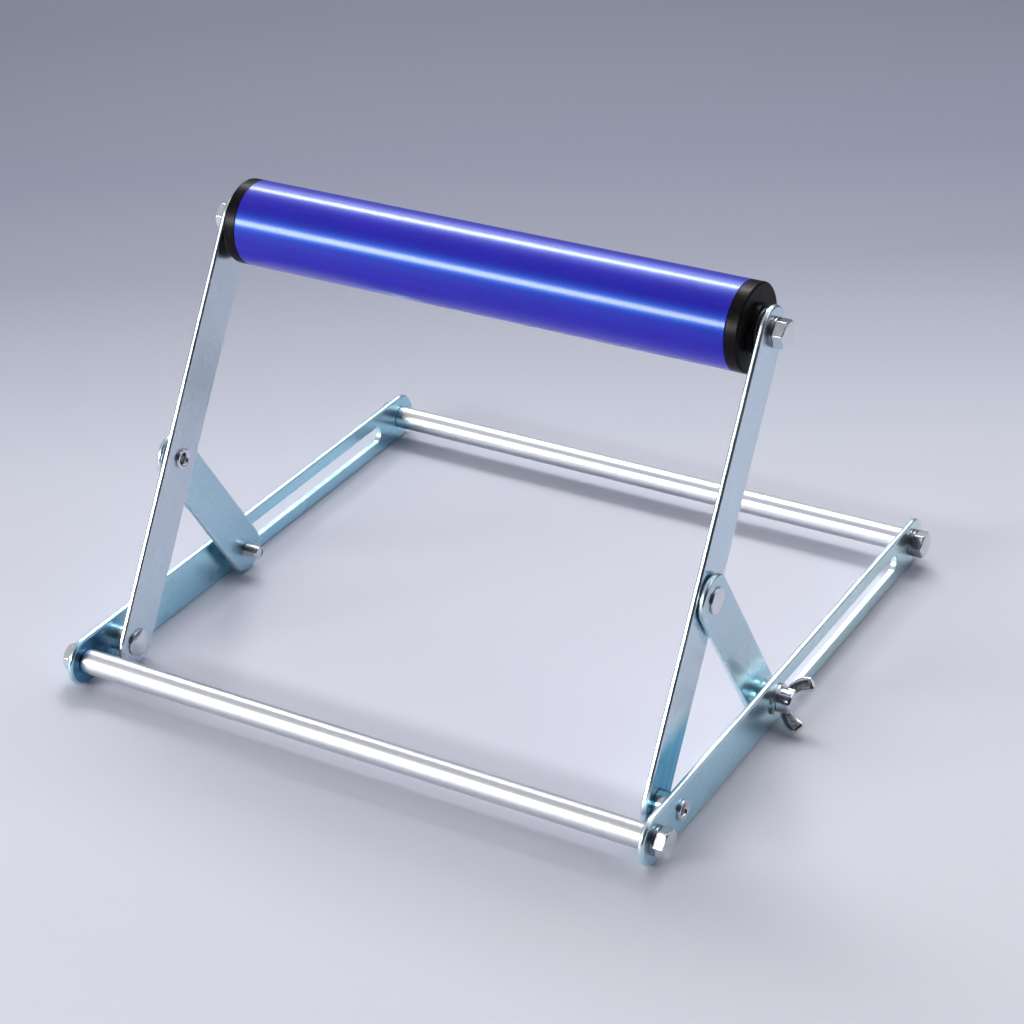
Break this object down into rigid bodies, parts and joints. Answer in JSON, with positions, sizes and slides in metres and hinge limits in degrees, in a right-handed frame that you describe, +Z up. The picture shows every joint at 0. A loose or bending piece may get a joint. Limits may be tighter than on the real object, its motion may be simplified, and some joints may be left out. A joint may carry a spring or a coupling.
{
  "type": "saw support stand",
  "caption": "Folding roller stand: flat slotted base frame, swinging arms that carry a wide roller, and sliding struts locked by wing screws at the height set for a workpiece.",
  "frame": {"origin": "centre of the base on the surface that the stand rests on", "axes": "+X across the stand, along the roller, to the right as seen from the front; +Y from the front cross rod to the rear one; +Z up"},
  "size_m": [0.2242, 0.2, 0.1385],
  "materials": {
    "zinc_plate": "zinc-plated flat strip, smooth, with soft blue-grey reflections",
    "bright_zinc": "bright zinc-plated round bar",
    "zinc_fastener": "bright zinc-plated fasteners",
    "cast_zinc": "bright plated casting",
    "blue_roller": "glossy blue coating on a steel tube",
    "black_cap": "semi-gloss moulded plastic",
    "bush_plastic": "natural moulded plastic"
  },
  "bodies": {
    "base": {"base_bar_left": "zinc_plate", "base_bar_right": "zinc_plate", "front_cross_rod": "bright_zinc", "rear_cross_rod": "bright_zinc", "base_bolt_front_left": "zinc_fastener", "base_bolt_front_right": "zinc_fastener", "base_bolt_rear_left": "zinc_fastener", "base_bolt_rear_right": "zinc_fastener", "spring_washer_front_left": "zinc_fastener", "spring_washer_front_right": "zinc_fastener", "spring_washer_rear_left": "zinc_fastener", "spring_washer_rear_right": "zinc_fastener", "pivot_rivet_left": "zinc_fastener", "pivot_rivet_right": "zinc_fastener", "pivot_spacer_left": "zinc_fastener", "pivot_spacer_right": "zinc_fastener"},
    "swing_frame": {"arm_left": "zinc_plate", "arm_right": "zinc_plate", "middle_rivet_left": "zinc_fastener", "middle_rivet_right": "zinc_fastener", "middle_washer_left": "zinc_fastener", "middle_washer_right": "zinc_fastener", "roller_axle": "bright_zinc", "axle_bolt_left": "zinc_fastener", "axle_bolt_right": "zinc_fastener", "axle_spring_washer_left": "zinc_fastener", "axle_spring_washer_right": "zinc_fastener"},
    "roller": {"roller_tube": "blue_roller", "roller_cap_left": "black_cap", "roller_cap_right": "black_cap", "roller_bush_left": "bush_plastic", "roller_bush_right": "bush_plastic"},
    "strut_left": {"strut_left": "zinc_plate"},
    "wing_washer_left": {"wing_washer_left": "zinc_fastener"},
    "wing_screw_left": {"wing_screw_left": "cast_zinc"},
    "strut_right": {"strut_right": "zinc_plate"},
    "wing_washer_right": {"wing_washer_right": "zinc_fastener"},
    "wing_screw_right": {"wing_screw_right": "cast_zinc"}
  },
  "joints": [
    {"name": "arm_pivot", "type": "hinge", "parent": "base", "child": "swing_frame", "pos_m": [0, -0.076, 0.008], "axis": [1, 0, 0], "range_deg": [-52, 2]},
    {"name": "roller_spin", "type": "hinge", "parent": "swing_frame", "child": "roller", "pos_m": [0, -0.00287, 0.12503], "axis": [1, 0, 0], "continuous": true},
    {"name": "strut_left_pivot", "type": "hinge", "parent": "swing_frame", "child": "strut_left", "pos_m": [-0.0954, -0.0442, 0.05888], "axis": [1, 0, 0], "range_deg": [-4, 104]},
    {"name": "wing_washer_left_slide", "type": "slide", "parent": "strut_left", "child": "wing_washer_left", "axis": [-1, 0, 0], "range_m": [0, 0.0008]},
    {"name": "wing_screw_left_turn", "type": "hinge", "parent": "wing_washer_left", "child": "wing_screw_left", "pos_m": [-0.1025, -0.01241, 0.008], "axis": [-1, 0, 0], "range_deg": [0, 360]},
    {"name": "strut_right_pivot", "type": "hinge", "parent": "swing_frame", "child": "strut_right", "pos_m": [0.0954, -0.0442, 0.05888], "axis": [1, 0, 0], "range_deg": [-4, 104]},
    {"name": "wing_washer_right_slide", "type": "slide", "parent": "strut_right", "child": "wing_washer_right", "axis": [1, 0, 0], "range_m": [0, 0.0008]},
    {"name": "wing_screw_right_turn", "type": "hinge", "parent": "wing_washer_right", "child": "wing_screw_right", "pos_m": [0.1025, -0.01241, 0.008], "axis": [1, 0, 0], "range_deg": [0, 360]}
  ],
  "couplings": [
    {"joint": "strut_left_pivot", "follows": "arm_pivot", "ratio": -2},
    {"joint": "wing_screw_left_turn", "follows": "wing_washer_left_slide", "rad_per_m": 7854},
    {"joint": "strut_right_pivot", "follows": "arm_pivot", "ratio": -2},
    {"joint": "wing_screw_right_turn", "follows": "wing_washer_right_slide", "rad_per_m": 7854}
  ]
}
